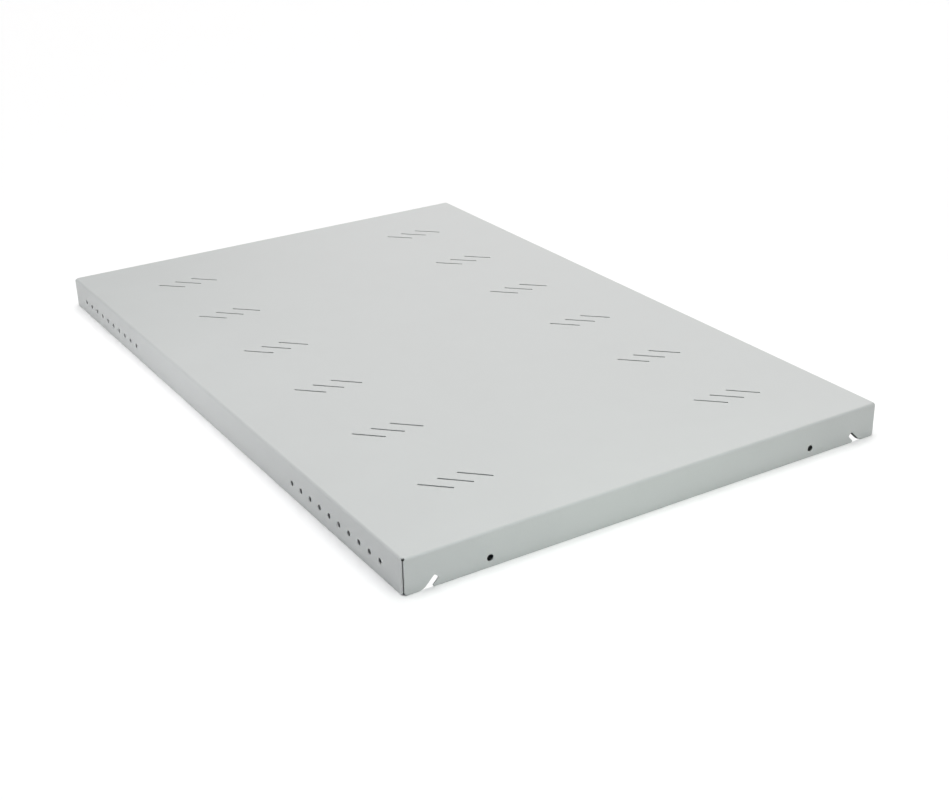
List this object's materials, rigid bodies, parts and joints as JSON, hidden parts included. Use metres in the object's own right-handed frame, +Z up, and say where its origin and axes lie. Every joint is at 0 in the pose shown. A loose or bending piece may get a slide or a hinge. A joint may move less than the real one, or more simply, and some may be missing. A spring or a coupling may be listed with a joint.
{
  "type": "rack shelf",
  "caption": "Shallow rack shelf folded from one steel sheet, a slotted deck with four down-turned flanges, rows of bracket holes and hook notches.",
  "frame": {"origin": "middle of the footprint, level with the lower edges of the flanges", "axes": "+X across the width, +Y along the depth from the front short flange to the rear one, +Z up through the deck"},
  "size_m": [0.4284, 0.654, 0.028],
  "materials": {
    "powder_coat": "light grey powder coat on steel sheet, satin, with a very fine orange peel"
  },
  "bodies": {
    "root": {"shelf_tray": "powder_coat"}
  },
  "joints": []
}
